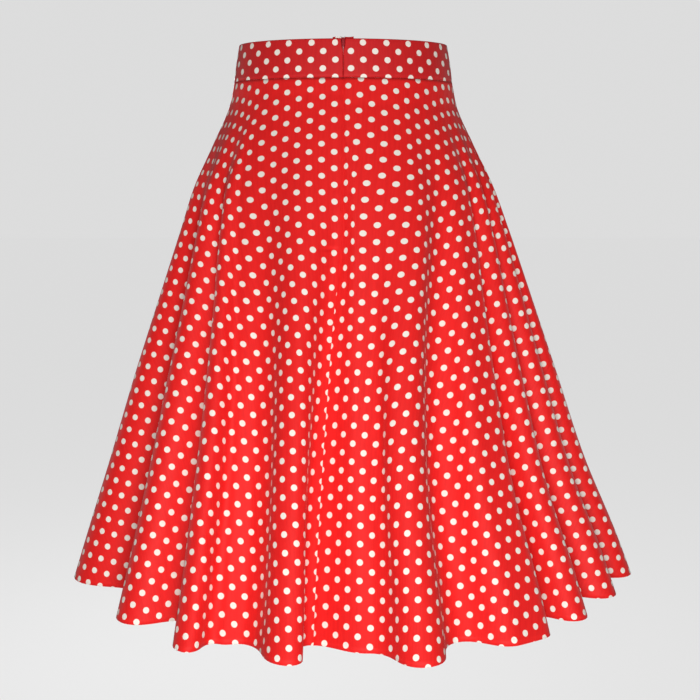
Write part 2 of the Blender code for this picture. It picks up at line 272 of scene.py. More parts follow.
# %% [markdown]
# ## The flat cut
#
# The dots were printed on flat cloth before it was cut, so they have to be laid out on the
# flat pattern, not on the hanging skirt. The pattern is found by unrolling: each column of
# the cloth becomes a straight ray square to the curved waistline, and neighbouring rays part
# by as much as the hem is longer than the waist. This flat place, in metres, is the UV map.

# %% Unroll the cloth
def flat_cut(points, middle):
    """The flat place of each point: the ray's start on the waistline, plus the column's
    true length down the cloth along the ray (sin(angle), -cos(angle))."""
    down = np.linalg.norm(np.diff(points, axis=0), axis=-1)
    down = np.concatenate([np.zeros((1, points.shape[1])), np.cumsum(down, axis=0)])
    waist_arc, hem_arc = arc_length(points[[0, -1]])
    angle = (hem_arc - waist_arc) / down[-1].mean()
    angle = angle - angle[middle]
    step = np.diff(waist_arc)
    between = (angle[1:] + angle[:-1]) / 2
    line = np.stack([np.cumsum(step * np.cos(between)), np.cumsum(step * np.sin(between))], -1)
    line = np.concatenate([np.zeros((1, 2)), line])
    line = line - line[middle]
    ray = np.stack([np.sin(angle), -np.cos(angle)], -1)
    return line + down[..., None] * ray


def flat_area(flat):
    """The area of the flat piece, from the cross products of its grid's diagonals."""
    one = flat[1:, 1:] - flat[:-1, :-1]
    two = flat[1:, :-1] - flat[:-1, 1:]
    return float(np.abs(one[..., 0] * two[..., 1] - one[..., 1] * two[..., 0]).sum() / 2)


def flat_size(flat):
    """The width and length of the rectangle that the flat piece is cut from."""
    span = flat.reshape(-1, 2).max(0) - flat.reshape(-1, 2).min(0)
    return float(span[0]), float(span[1])


back_flat = flat_cut(back_cloth, SEAM_COLUMN)
front_flat = flat_cut(front_cloth, front_cloth.shape[1] // 2)
print("flat back", round(flat_area(back_flat), 3), "m2, front", round(flat_area(front_flat), 3))

# %% [markdown]
# ## Small creases
#
# Between the flutes the cloth is never quite smooth. Soft troughs and ridges run down from
# the hip, uneven in length and depth, and the seams pucker a little. Each crease is a row of
# a table: where it starts and ends, counted in walls from the side seam (behind from the
# left one, before from the right one) and in metres below the waist, how far it stands out
# and how wide it is, both in millimetres. One short sideways nip marks the zip's lower end.

# %% Press the creases into the cloth
# Columns: walls at start and end, drops in m, stand-out in mm, width in mm
BACK_CREASES = (
    ((10.35, 10.45), (0.13, 0.60), -4.0, 9),
    ((10.75, 10.6), (0.15, 0.50), 2.0, 12),
    ((5.7, 5.5), (0.16, 0.60), 2.2, 9),
    ((7.3, 7.45), (0.20, 0.60), -2.5, 12),
    ((3.4, 3.5), (0.12, 0.45), 1.6, 11),
    ((12.4, 12.5), (0.12, 0.50), -2.0, 10),
    ((8.6, 8.4), (0.02, 0.30), 1.0, 14),
    ((2.4, 2.5), (0.08, 0.40), -1.4, 10),
    ((15.5, 15.4), (0.10, 0.42), 1.2, 9),
)
FRONT_CREASES = (
    ((3.4, 3.5), (0.10, 0.45), -1.8, 12),
    ((5.5, 5.4), (0.06, 0.40), 1.6, 14),
    ((7.5, 7.6), (0.15, 0.57), -2.6, 15),
    ((9.5, 9.4), (0.04, 0.33), 1.8, 15),
    ((11.5, 11.6), (0.18, 0.55), -2.2, 14),
    ((13.4, 13.5), (0.08, 0.42), 1.5, 11),
)
NIP_DROP = 0.1785
NIP_ASIDE = -0.0135
NIP_LONG = 0.008
NIP_WIDE = 0.0018
NIP_SLANT = -0.06
NIP_DEPTH = 0.0016


def face_out(points):
    """The outward normal at each point of a grid, from the cross product of its two
    directions."""
    down = np.gradient(points, axis=0)
    along = np.gradient(points, axis=1)
    out = np.cross(down, along)
    return out / np.linalg.norm(out, axis=-1, keepdims=True)


def near(distance, reach):
    """A soft bump of height one: exp(-(distance / reach)^2)."""
    return np.exp(-(distance / reach) ** 2)


def creased(points, table):
    """Points pushed along their normals by stand_out * exp(-(distance / width)^2), faded in
    and out along the crease as the square of a sine."""
    arc = arc_length(points)
    column = np.arange(points.shape[1])
    push = np.zeros(arc.shape)
    for walls, drops, stand_out, width in table:
        share = (levels - drops[0]) / (drops[1] - drops[0])
        wall = walls[0] + share * (walls[1] - walls[0])
        at = np.array([np.interp(w * WALL_STEPS, column, a) for w, a in zip(wall, arc)])
        fade = np.sin(math.pi * np.clip(share, 0.0, 1.0)) ** 2
        shape = near(arc - at[:, None], width * MM)
        push += stand_out * MM * fade[:, None] * shape
    return points + face_out(points) * push[..., None]


def nipped(points):
    """The small sideways nip where the zip's sewing stops: points pushed in by
    depth * exp(-(along / long)^2 - (down / wide)^2) round its middle, on a slight slant."""
    arc = arc_length(points)
    along = arc - arc[:, SEAM_COLUMN:SEAM_COLUMN + 1] - NIP_ASIDE
    down = levels[:, None] - NIP_DROP - NIP_SLANT * along
    push = NIP_DEPTH * np.exp(-(along / NIP_LONG) ** 2 - (down / NIP_WIDE) ** 2)
    return points - face_out(points) * push[..., None]


back_cloth = nipped(creased(back_cloth, BACK_CREASES))
front_cloth = creased(front_cloth, FRONT_CREASES)
print("creases pressed:", len(BACK_CREASES), "behind and", len(FRONT_CREASES), "before")

# %% [markdown]
# ## Seams
#
# At a seam both cloths turn inwards, which the eye reads as a fine dark line with a soft
# shoulder on each side. The outermost columns of every panel are laid closer together, and
# the edge is pulled in. Small puckers run along it, because thread draws cloth up a little.
# Beside the centre-back seam the print shifts: the zip takes some cloth in, and below it the
# edges were cut a little off the grain.

# %% Turn the edges in
SEAM_DEPTH = 0.0016
SEAM_SHOULDER = 0.0022
PUCKER = 0.00035
PUCKER_COUNT = 4
PUCKER_WAVES = (250, 650)
PUCKER_PHASE = 6
PUCKER_NEAR = 0.002
PUCKER_FAR = 0.009
WAIST_TUCK = 0.0006
WAIST_SHOULDER = 0.0025
GATHER = 0.00025
GATHER_FALL = 0.018
GATHER_WAVES = (390.0, 147.0, 71.0)
WAIST_EASE = 0.06
EASE_FALL = 0.10
ZIP_TAKES_IN = (0.02, 0.24)
ZIP_TAKE_IN = 0.0022
GRAIN_RUNS_OFF = ((0.15, 0.34), (0.13, 0.27))
GRAIN_OFF = (0.0100, 0.0060)
EDGE_SHARES = (0.12, 0.3, 0.6)


def with_edge_columns(grid):
    """The grid with three more columns beside each side edge, between the first two."""
    share = np.array(EDGE_SHARES)[None, :, None]
    first = grid[:, :1] * (1 - share) + grid[:, 1:2] * share
    last = grid[:, -2:-1] * share[:, ::-1] + grid[:, -1:] * (1 - share[:, ::-1])
    return np.concatenate([grid[:, :1], first, grid[:, 1:-1], last, grid[:, -1:]], axis=1)


def share_of(drops, span):
    """How far along the span from one drop to another each drop is, from 0 to 1."""
    return np.clip((drops - span[0]) / (span[1] - span[0]), 0.0, 1.0)


def sewn(points, flat, seed):
    """A panel with its side edges and its waist turned in by a soft bump, puckers of random
    phase along its sides and gathers below its waist, where its flat cut is eased."""
    random = np.random.default_rng(seed)
    points, flat = with_edge_columns(points), with_edge_columns(flat)
    arc = arc_length(points)
    out = face_out(points)
    edge = np.minimum(arc, arc[:, -1:] - arc)
    turn_in = SEAM_DEPTH * near(edge, SEAM_SHOULDER)
    waves = sum(np.sin(levels * random.uniform(*PUCKER_WAVES) + random.uniform(0, PUCKER_PHASE))
                for _ in range(PUCKER_COUNT))
    turn_in += PUCKER / 2 * waves[:, None] * near(edge, PUCKER_FAR) * (1 - near(edge, PUCKER_NEAR))
    below = -flat[:, :, 1:2].mean(1)
    turn_in += WAIST_TUCK * near(below, WAIST_SHOULDER)
    one, two, three = (np.sin(arc * wave + (number + 1) * seed) for number, wave in enumerate(GATHER_WAVES))
    turn_in += GATHER * (one * two + three) * near(below, GATHER_FALL)
    flat = flat / np.stack([1 + WAIST_EASE * near(below, EASE_FALL), np.ones_like(below)], -1)
    return points - out * turn_in[..., None], flat


def joined_edges(one, two):
    """Two panels with the last column of one and the first of the other on one line."""
    middle = (one[:, -1] + two[:, 0]) / 2
    one[:, -1] = middle
    two[:, 0] = middle


left_of_seam = back_flat[:, :SEAM_COLUMN + 1].copy()
right_of_seam = back_flat[:, SEAM_COLUMN:].copy()
for beside, span, off in zip((left_of_seam, right_of_seam), GRAIN_RUNS_OFF, GRAIN_OFF):
    share = share_of(levels, span)
    beside[..., 0] -= off * (share ** 2 * (3 - 2 * share))[:, None]
right_of_seam[..., 0] += ZIP_TAKE_IN * np.sin(math.pi * share_of(levels, ZIP_TAKES_IN))[:, None] ** 2
panels = {
    "back_left_panel": sewn(back_cloth[:, :SEAM_COLUMN + 1], left_of_seam, 1),
    "back_right_panel": sewn(back_cloth[:, SEAM_COLUMN:], right_of_seam, 2),
    "front_panel": sewn(front_cloth, front_flat, 3),
}
order = ("back_left_panel", "back_right_panel", "front_panel", "back_left_panel")
for before, after in zip(order[:-1], order[1:]):
    joined_edges(panels[before][0], panels[after][0])
print({name: points.shape[:2] for name, (points, flat) in panels.items()})

# %% [markdown]
# ## The printed sateen
#
# Cotton sateen is smooth, with a soft bright sheen where it bends. The dots are a half-drop
# repeat: columns of dots down the cloth, with every second one half a step lower. A node
# group measures the distance to the nearest dot of two rectangular lattices. A second group
# gives the fine weave, as a small height for a bump.

# %% Node groups for dots and weave
DOT_ALONG = 0.0185
DOT_ACROSS = 0.0253
DOT_RADIUS = 0.0033
DOT_EDGE = 0.0003
THREAD = 0.00045
SLANT = 0.34
WEAK_THREADS = 0.35
SLUBS_PER_METRE = (420.0, 28.0, 0.0)
HALF_STEP = (0.5, 0.5, 0.0)
NO_STEP = (0.0, 0.0, 0.0)


def new_group(name, inputs, outputs):
    """An empty shader node group with its sockets, and its input and output nodes."""
    group = bpy.data.node_groups.new(name, "ShaderNodeTree")
    for direction, sockets in (("INPUT", inputs), ("OUTPUT", outputs)):
        for socket, kind in sockets:
            group.interface.new_socket(socket, in_out=direction, socket_type=kind)
    return group, group.nodes.new("NodeGroupInput"), group.nodes.new("NodeGroupOutput")


def add_node(tree, kind, inputs, **settings):
    """A shader node with its settings made, then its inputs linked or set, and its outputs."""
    node = tree.nodes.new("ShaderNode" + kind)
    for name, value in settings.items():
        setattr(node, name, value)
    for socket, value in inputs.items():
        if isinstance(value, bpy.types.NodeSocket):
            tree.links.new(value, node.inputs[socket])
        else:
            node.inputs[socket].default_value = value
    return node.outputs


def vector_step(tree, operation, *values):
    """The result of one Vector Math node."""
    outputs = add_node(tree, "VectorMath", dict(enumerate(values)), operation=operation)
    return outputs["Value"] if operation == "LENGTH" else outputs["Vector"]


def number_step(tree, operation, *values):
    """The result of one Math node."""
    return add_node(tree, "Math", dict(enumerate(values)), operation=operation)[0]


def make_dot_group():
    """Mask of the dots: 1 inside, 0 outside. For each lattice the place is divided by the
    repeat, its nearest dot's place taken away, and the rest is measured in metres."""
    group, inputs, outputs = new_group(
        "printed_dots",
        (("Place", "NodeSocketVector"), ("Start", "NodeSocketVector")),
        (("Mask", "NodeSocketFloat"),),
    )
    repeat = (DOT_ACROSS, DOT_ALONG, 1.0)
    counts = (1 / DOT_ACROSS, 1 / DOT_ALONG, 0.0)
    moved = vector_step(group, "SUBTRACT", inputs.outputs["Place"], inputs.outputs["Start"])
    steps = vector_step(group, "MULTIPLY", moved, counts)
    distances = []
    for offset in (HALF_STEP, NO_STEP):
        cell = vector_step(group, "FRACTION", vector_step(group, "ADD", steps, offset))
        middle = vector_step(group, "SUBTRACT", cell, HALF_STEP)
        distances.append(vector_step(group, "LENGTH", vector_step(group, "MULTIPLY", middle, repeat)))
    nearest = number_step(group, "MINIMUM", *distances)
    edge = {"From Min": DOT_RADIUS + DOT_EDGE, "From Max": DOT_RADIUS - DOT_EDGE}
    soft = add_node(group, "MapRange", {"Value": nearest, **edge}, interpolation_type="SMOOTHSTEP")
    group.links.new(soft["Result"], outputs.inputs["Mask"])
    return group


def make_weave_group():
    """Height of the weave: threads as sines across and along, the along ones stronger and
    set over by a third of a thread per row, which gives the sateen's fine slant."""
    group, inputs, outputs = new_group(
        "sateen_weave",
        (("Place", "NodeSocketVector"),),
        (("Height", "NodeSocketFloat"), ("Slub", "NodeSocketFloat")),
    )
    place = inputs.outputs["Place"]
    turns = vector_step(group, "MULTIPLY", place, (2 * math.pi / THREAD, 2 * math.pi / THREAD, 0.0))
    split = add_node(group, "SeparateXYZ", {0: turns})
    slant = number_step(group, "MULTIPLY", split["Y"], SLANT)
    along = number_step(group, "SINE", number_step(group, "ADD", split["X"], slant))
    across = number_step(group, "SINE", split["Y"])
    weak = number_step(group, "MULTIPLY", across, WEAK_THREADS)
    group.links.new(number_step(group, "ADD", along, weak), outputs.inputs["Height"])
    drawn_out = vector_step(group, "MULTIPLY", place, SLUBS_PER_METRE)
    slub = add_node(group, "TexNoise", {"Vector": drawn_out, "Scale": 1.0, "Detail": 2.0})
    group.links.new(slub["Fac"], outputs.inputs["Slub"])
    return group


dot_group = make_dot_group()
weave_group = make_weave_group()
print("groups:", dot_group.name, weave_group.name)

# %% [markdown]
# ## The cloth material
#
# One function makes the sateen for each piece, because every piece was cut from another
# place of the cloth and its dots start elsewhere. The red varies a little from yarn to yarn.
# On the wrong side the print is paler. Sheen and specular are plain numbers on the shader,
# so that they survive the export.

# %% Make the sateen
DOT_WHITE = (0.93, 0.86, 0.77)
RIGHT_SIDE = {"deep": (0.81, 0.012, 0.012), "red": (0.86, 0.015, 0.014), "dot": DOT_WHITE}
# The band's deeper red is painted shade: the same cloth, darkened for the light that falls off towards the
# top of the skirt.
BAND_PAINTED_SHADE = {"deep": (0.58, 0.012, 0.014), "red": (0.63, 0.014, 0.016), "dot": DOT_WHITE}
WRONG_SIDE = {"deep": (0.56, 0.07, 0.06), "red": (0.62, 0.09, 0.075), "dot": (0.78, 0.50, 0.42)}
SATEEN = {"Roughness": 0.58, "Specular IOR Level": 0.22, "Sheen Weight": 0.03, "Sheen Roughness": 0.45}
SATEEN_BUMP = {"Strength": 0.25, "Distance": 0.00006}
SLUB_SPREAD = {"From Min": 0.3, "From Max": 0.6}
FLAT_MAP = "flat_cloth"


def new_material(name, numbers):
    """A material, its node tree and its shader with the plain numbers set."""
    material = bpy.data.materials.new(name)
    material.use_nodes = True
    shader = material.node_tree.nodes["Principled BSDF"]
    for socket, value in numbers.items():
        shader.inputs[socket].default_value = value
    return material, material.node_tree, shader


def mixed(tree, factor, low, high):
    """A colour between low and high, each three numbers or another node's colour."""
    ends = {name: (*end, 1.0) if isinstance(end, tuple) else end for name, end in (("A", low), ("B", high))}
    return add_node(tree, "Mix", {"Factor": factor, **ends}, data_type="RGBA")["Result"]


def woven(tree, shader, bump):
    """The weave's bump on the shader. Returns the flat place and the yarn's unevenness."""
    place = add_node(tree, "UVMap", {}, uv_map=FLAT_MAP)["UV"]
    weave = add_node(tree, "Group", {"Place": place}, node_tree=weave_group)
    raised = add_node(tree, "Bump", {"Height": weave["Height"], **bump})
    tree.links.new(raised["Normal"], shader.inputs["Normal"])
    return place, weave["Slub"]


def make_sateen(name, start, shades=RIGHT_SIDE):
    """Red sateen with white dots, one of them centred at start on the flat cloth."""
    material, tree, shader = new_material(name, SATEEN)
    place, slub = woven(tree, shader, SATEEN_BUMP)
    dots = add_node(tree, "Group", {"Place": place, "Start": (*start, 0.0)}, node_tree=dot_group)
    spread = add_node(tree, "MapRange", {"Value": slub, **SLUB_SPREAD})["Result"]
    yarn = mixed(tree, spread, shades["deep"], shades["red"])
    tree.links.new(mixed(tree, dots["Mask"], yarn, shades["dot"]), shader.inputs["Base Color"])
    return material


# %% [markdown]
# ## Cut and hang the panels
#
# Each panel is a grid mesh with its flat place as UV map. Solidify gives it the thickness
# of real cotton on the inner side. Each one rides on the skirt's body and hides the plain
# solid it stands for.

# %% Make the three panels
CLOTH = 0.0005
PANEL_PLACES = (
    {"piece": "back_left_panel", "node": "skirt_back_left", "start": (-0.0091, -0.0491)},
    {"piece": "back_right_panel", "node": "skirt_back_right", "start": (0.0056, -0.0463)},
    {"piece": "front_panel", "node": "skirt_front", "start": (0.0, -0.004)},
)


def finished_mesh(name, points, faces, material, flat=None):
    """A smooth mesh of the points and faces, with the flat places, if given, as UV map."""
    mesh = bpy.data.meshes.new(name)
    mesh.from_pydata(points.reshape(-1, 3), [], faces)
    if flat is not None:
        corners = np.empty(len(mesh.loops), dtype=np.int32)
        mesh.loops.foreach_get("vertex_index", corners)
        layer = mesh.uv_layers.new(name=FLAT_MAP)
        layer.data.foreach_set("uv", flat.reshape(-1, 2)[corners].astype(np.float32).ravel())
    mesh.materials.append(material)
    mesh.shade_smooth()
    return mesh


def cloth_mesh(name, points, flat, material):
    """An open grid of quads on points[row, column]."""
    number = np.arange(points[..., 0].size).reshape(points.shape[:2])
    quads = np.stack([number[:-1, :-1], number[1:, :-1], number[1:, 1:], number[:-1, 1:]], -1)
    return finished_mesh(name, points, quads.reshape(-1, 4), material, flat)


def new_piece(name, mesh, body, slot, *nodes):
    """An object for the mesh at the origin, riding on its body. The slot argument is not used."""
    piece = bpy.data.objects.new(name, mesh)
    bpy.context.scene.collection.objects.link(piece)
    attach(piece, body)
    if nodes:
        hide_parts(*nodes)
    return piece


def thicken(piece, thickness):
    """Solidify on the inner side. Returns the modifier."""
    wall = piece.modifiers.new("cloth", "SOLIDIFY")
    wall.thickness = thickness
    wall.offset = -1.0
    wall.use_even_offset = True
    return wall


sateens = {}
for row in PANEL_PLACES:
    points, flat = panels[row["piece"]]
    sateen = make_sateen(row["piece"] + "_sateen", row["start"])
    sateens[row["piece"]] = sateen
    piece = new_piece(row["piece"], cloth_mesh(row["piece"], points, flat, sateen),
                      "skirt", "skirt_cloth", row["node"])
    piece.data.materials.append(make_sateen(row["piece"] + "_wrong_side", row["start"], WRONG_SIDE))
    thicken(piece, CLOTH).material_offset = 1
    print(row["piece"], "flat", [round(v, 3) for v in flat_size(flat)], "m,",
          round(flat_area(flat), 3), "m2")

# %% [markdown]
# ## The waistband
#
# The band is two layers of cloth with stiffening between them, turned over at the top. Its
# cross-section is one closed line: up the outer face, over the rounded top edge and down the
# inner face. That line is carried round the waist, and at the centre back its two ends part
# around the zip's slider.

# %% Make the waistband
BAND_WALL = 0.0020
TOP_ROWS = 7
FACE_ROWS = 12
BAND_SWELL = 0.0004
BAND_STRETCH = 1.065
PUCKER_DEPTH = 0.00022
PUCKER_RISE = 0.16
PUCKER_TURNS = (430.0, 61.0, 173.0)
PUCKER_DRIFT = 1.3
END_SPREAD = 0.006
PARTING_HEIGHTS = (0.0, 0.72, 0.82, 1.0)
PARTING_GAPS = (0.00015, 0.00015, 0.0021, 0.0024)
BAND_PIECES = (
    {"piece": "back_left_band", "node": "waistband_back_left",
     "from": -90.0, "to": 0.0, "columns": 120, "start": (0.0048, 0.0098)},
    {"piece": "back_right_band", "node": "waistband_back_right",
     "from": 0.0, "to": 90.0, "columns": 120, "start": (0.0078, 0.0098)},
    {"piece": "front_band", "node": "waistband_front",
     "from": 90.0, "to": 270.0, "columns": 230, "start": (0.0045, 0.0062)},
)


def band_section():
    """The closed line of the cross-section: height as a share of the depth, how far in from
    the outer face, and the flat place along the cloth's own length."""
    edge = BAND_WALL / 2
    up = np.linspace(0.0, 1.0, FACE_ROWS)
    outer = np.stack([up * (1 - edge / BAND_DEPTH), -BAND_SWELL * np.sin(math.pi * up)], -1)
    turn = np.linspace(0.0, math.pi, TOP_ROWS + 2)[1:-1]
    top = np.stack([1 - (edge - edge * np.sin(turn)) / BAND_DEPTH, edge - edge * np.cos(turn)], -1)
    inner = np.stack([outer[::-1, 0], np.full(FACE_ROWS, BAND_WALL)], -1)
    return np.concatenate([outer, top, inner])


def band_oval(share, side):
    """The band's half width and half depth at a share of its height, behind (1) or before (2)."""
    return [BAND_LOW_HALF[axis] + share * (BAND_TOP_HALF[axis] - BAND_LOW_HALF[axis]) for axis in (0, side)]


def band_grid(start, end, columns):
    """points[section, column]: the oval's size runs from the band's foot to its top, and
    each point lies inside the outer face by its section's depth."""
    section = band_section()
    share, inside = section[:, :1], section[:, 1:]
    azimuth = np.linspace(start, end, columns)
    plan, out = mean_line(azimuth[None, :], *band_oval(share, 2 if start >= 90.0 else 1), 0.0)
    arc = arc_length(plan)
    gap = np.interp(share[:, 0], PARTING_HEIGHTS, PARTING_GAPS)
    shift = np.zeros(arc.shape)
    seam = np.full(len(share), SEAM_GAP / 2)
    first, last = (gap if start == 0.0 else seam), (gap if end == 0.0 else seam)
    shift += first[:, None] * np.exp(-arc / END_SPREAD)
    shift -= last[:, None] * np.exp(-(arc[:, -1:] - arc) / END_SPREAD)
    along = np.gradient(plan, axis=1)
    along /= np.linalg.norm(along, axis=-1, keepdims=True)
    fast, drift, slow = PUCKER_TURNS
    pucker = np.sin(arc * fast + PUCKER_DRIFT * np.sin(arc * drift)) * np.sin(arc * slow + start)
    dimple = PUCKER_DEPTH * (1 + pucker) * near(share, PUCKER_RISE) * (inside < BAND_WALL / 2)
    plan = plan + along * shift[..., None] - out * (inside + dimple)[..., None]
    height = np.repeat(BAND_DEPTH * (share - 0.5), columns, axis=1)
    points = np.concatenate([plan, height[..., None]], axis=-1)
    middle = arc[FACE_ROWS // 2]
    middle = (middle - middle[0 if start >= 0 else -1]) / BAND_STRETCH
    up = arc_length(np.concatenate([inside, share * BAND_DEPTH], -1))
    return points, np.stack(np.broadcast_arrays(middle, up[:, None]), -1)


def ring_faces(points):
    """The quads of a grid that is closed round its first direction, and a face on each end."""
    number = np.arange(points[..., 0].size).reshape(points.shape[:2])
    ring = np.concatenate([number, number[:1]])
    quads = np.stack([ring[1:, :-1], ring[:-1, :-1], ring[:-1, 1:], ring[1:, 1:]], -1)
    return quads.reshape(-1, 4).tolist() + [number[:, 0].tolist(), number[::-1, -1].tolist()]


for row in BAND_PIECES:
    points, flat = band_grid(row["from"], row["to"], row["columns"])
    # The band cloth gets the deeper red of painted shade.
    sateen = make_sateen(row["piece"] + "_sateen", row["start"], BAND_PAINTED_SHADE)
    mesh = finished_mesh(row["piece"], points, ring_faces(points), sateen, flat)
    piece = new_piece(row["piece"], mesh, "skirt", "band_cloth", row["node"])

# %% [markdown]
# ## Seam allowances and hem turn
#
# Inside, a sewn skirt shows how it was made: the allowances of every seam are pressed open,
# and the hem is turned up. Both are the panels' own cloth folded back, so they show its
# right side. Each is a narrow strip whose points are taken from its panel's grid and moved
# inwards by the cloth's thickness.

# %% Fold the edges back inside
ALLOWANCE = 0.0120
HEM_TURN = 0.0140
FOLD_CLEAR = 0.0003
STRIP_COLUMNS = 5
STRIP_ROWS = 80
SIDE_SEAM_TOP = 0.006
CENTRE_TOP = 0.182
STRIP_START = 0.0006
# Columns: piece, panel, the panel's edge, drop of its top
FOLD_BACKS = (
    ("back_left_side_allowance", "back_left_panel", "first", SIDE_SEAM_TOP),
    ("back_left_centre_allowance", "back_left_panel", "last", CENTRE_TOP),
    ("back_right_centre_allowance", "back_right_panel", "first", CENTRE_TOP),
    ("back_right_side_allowance", "back_right_panel", "last", SIDE_SEAM_TOP),
    ("front_right_allowance", "front_panel", "first", SIDE_SEAM_TOP),
    ("front_left_allowance", "front_panel", "last", SIDE_SEAM_TOP),
)


def on_rows(grid, drops):
    """The grid's rows at the given drops below the waist, each interpolated between the two
    levels around it."""
    place = np.interp(drops, levels, np.arange(len(levels)))
    low = np.minimum(place.astype(int), len(levels) - 2)
    part = (place - low)[:, None, None]
    return grid[low] * (1 - part) + grid[low + 1] * part


def beside_line(grid, arc, sides):
    """On every row, the points at the given distances along the cloth, read from its arc."""
    return np.stack([
        np.stack([np.interp(sides, row_arc, row[:, axis]) for axis in range(row.shape[1])], -1)
        for row, row_arc in zip(grid, arc)
    ])


def folded_strip(name, points, flat, panel):
    """A strip of the panel's own cloth, folded back inside it."""
    mesh = cloth_mesh(name, points, flat, sateens[panel])
    piece = new_piece(name, mesh, "skirt", "skirt_cloth")
    thicken(piece, CLOTH)
    return piece


def inner_side(points):
    """Points moved just inside the cloth."""
    return points - face_out(points) * (CLOTH + FOLD_CLEAR)


for name, panel, edge, top in FOLD_BACKS:
    points, flat = panels[panel]
    drops = np.linspace(top, SKIRT_DROP - HEM_TURN - FOLD_CLEAR, STRIP_ROWS)
    strip, strip_flat = on_rows(inner_side(points), drops), on_rows(flat, drops)
    arc = arc_length(strip)
    sides = np.linspace(STRIP_START, ALLOWANCE, STRIP_COLUMNS)
    if edge == "last":
        arc, sides = arc - arc[:, -1:], -sides[::-1]
    strip, strip_flat = beside_line(strip, arc, sides), beside_line(strip_flat, arc, sides)
    folded_strip(name, strip, strip_flat, panel)
print("allowances:", len(FOLD_BACKS))

# %% [markdown]
# ## The hem
#
# The hem is turned up once on each panel, as a narrow strip of the lowest cloth.

# %% Turn up the hem
for panel, (points, flat) in panels.items():
    name = panel.replace("panel", "hem_turn")
    drops = np.linspace(SKIRT_DROP - HEM_TURN, SKIRT_DROP - FOLD_CLEAR, STRIP_COLUMNS)
    strip = on_rows(inner_side(points), drops)
    folded_strip(name, strip, on_rows(flat, drops), panel)

# %% [markdown]
# ## The zip's tape and coil
#
# An invisible zip is sewn inside the centre-back seam, so from outside only its slider shows.
# Its two woven tapes lie behind the edges of the band and the cloth, and a fine coil runs
# between them. The tapes are the outer face's own points moved inwards, and the coil is a
# wire carried round a helix along the same line.

# %% Lay the tape and wind the coil
ZIP_BELOW_SEAM = 0.178
TAPE_HALF = 0.012
TAPE_INSIDE = 0.0027
TAPE_CLOTH = 0.0004
TAPE_GAP = 0.0004
TAPE_COLUMNS = 8
TAPE_ROWS = 70
BAND_SHARES = (0.95, 0.8, 0.6, 0.4, 0.2, 0.05)
COIL_PITCH = 0.0012
COIL_HALF = (0.0010, 0.0005)
COIL_WIRE = 0.00028
COIL_STEPS = 12
COIL_SIDES = 5
COIL_DEPTH = 0.0039
COIL_BESIDE = 0.001
TAPE_STARTS = 0.003
TAPE_SHADES = ((0.30, 0.010, 0.016), (0.42, 0.014, 0.022))
TAPE_BUMP = {"Strength": 0.5, "Distance": 0.0001}
TAPE_ROUGHNESS = 0.7


def down_the_zip(sides, inwards):
    """Points beside the centre back, moved inwards: rows on the band from its top down, then
    rows on the cloth down to the zip's end. sides are the distances from the seam."""
    share = np.array(BAND_SHARES)[:, None]
    half_width, behind = band_oval(share, 1)
    plan, _ = mean_line(np.degrees(np.arcsin(sides / half_width)), half_width, behind, 0.0)
    height = np.broadcast_to(BAND_DEPTH * (share - 0.5), plan.shape[:-1])
    band = np.concatenate([plan, height[..., None]], axis=-1)
    drops = np.linspace(TAPE_STARTS, ZIP_BELOW_SEAM, TAPE_ROWS)
    cloth = on_rows(back_cloth, drops)
    arc = arc_length(cloth)
    cloth = beside_line(cloth, arc - arc[:, SEAM_COLUMN:SEAM_COLUMN + 1], sides)
    strip = np.concatenate([band, cloth])
    return strip - face_out(strip) * inwards


def closed_mesh(name, points, material):
    """A mesh of a closed grid, with its doubles merged and its faces turned outwards."""
    mesh = finished_mesh(name, points, ring_faces(points), material)
    shape = bmesh.new()
    shape.from_mesh(mesh)
    bmesh.ops.remove_doubles(shape, verts=shape.verts, dist=1e-7)
    bmesh.ops.recalc_face_normals(shape, faces=shape.faces)
    shape.to_mesh(mesh)
    shape.free()
    mesh.shade_smooth()
    return mesh


def tube(path, side, radius, count):
    """points[round, along] of a wire: a circle of the radius round each point of the path,
    spanned by the side direction and the one square to it and to the path."""
    forward = np.gradient(path, axis=0)
    forward /= np.linalg.norm(forward, axis=-1, keepdims=True)
    side = side - forward * (side * forward).sum(-1, keepdims=True)
    side /= np.linalg.norm(side, axis=-1, keepdims=True)
    other = np.cross(forward, side)
    turn = np.linspace(0.0, 2 * math.pi, count, endpoint=False)[:, None, None]
    return path + radius * (np.cos(turn) * side + np.sin(turn) * other)


def make_tape_cloth():
    """Ribbed dark red tape: the same weave, drawn deeper, and a soft mottle."""
    material, tree, shader = new_material("zip_tape_weave", {"Roughness": TAPE_ROUGHNESS})
    _, slub = woven(tree, shader, TAPE_BUMP)
    tree.links.new(mixed(tree, slub, *TAPE_SHADES), shader.inputs["Base Color"])
    return material


tape_cloth = make_tape_cloth()
# Columns: piece, first and last distance from the seam
TAPES = (("left_zip_tape", -TAPE_HALF, -TAPE_GAP), ("right_zip_tape", TAPE_GAP, TAPE_HALF))
for name, first, last in TAPES:
    sides = np.linspace(first, last, TAPE_COLUMNS)
    strip = down_the_zip(sides, TAPE_INSIDE)
    down = arc_length(strip.transpose(1, 0, 2))[0]
    flat = np.stack(np.broadcast_arrays(sides[None, :], -down[:, None]), -1)
    piece = new_piece(name, cloth_mesh(name, strip, flat, tape_cloth), "skirt", "zip_tape", "zip_tape")
    thicken(piece, TAPE_CLOTH)


def read_along(points, place, at):
    """Points of a line at the given lengths along it."""
    return np.stack([np.interp(at, place, points[:, axis]) for axis in range(3)], -1)


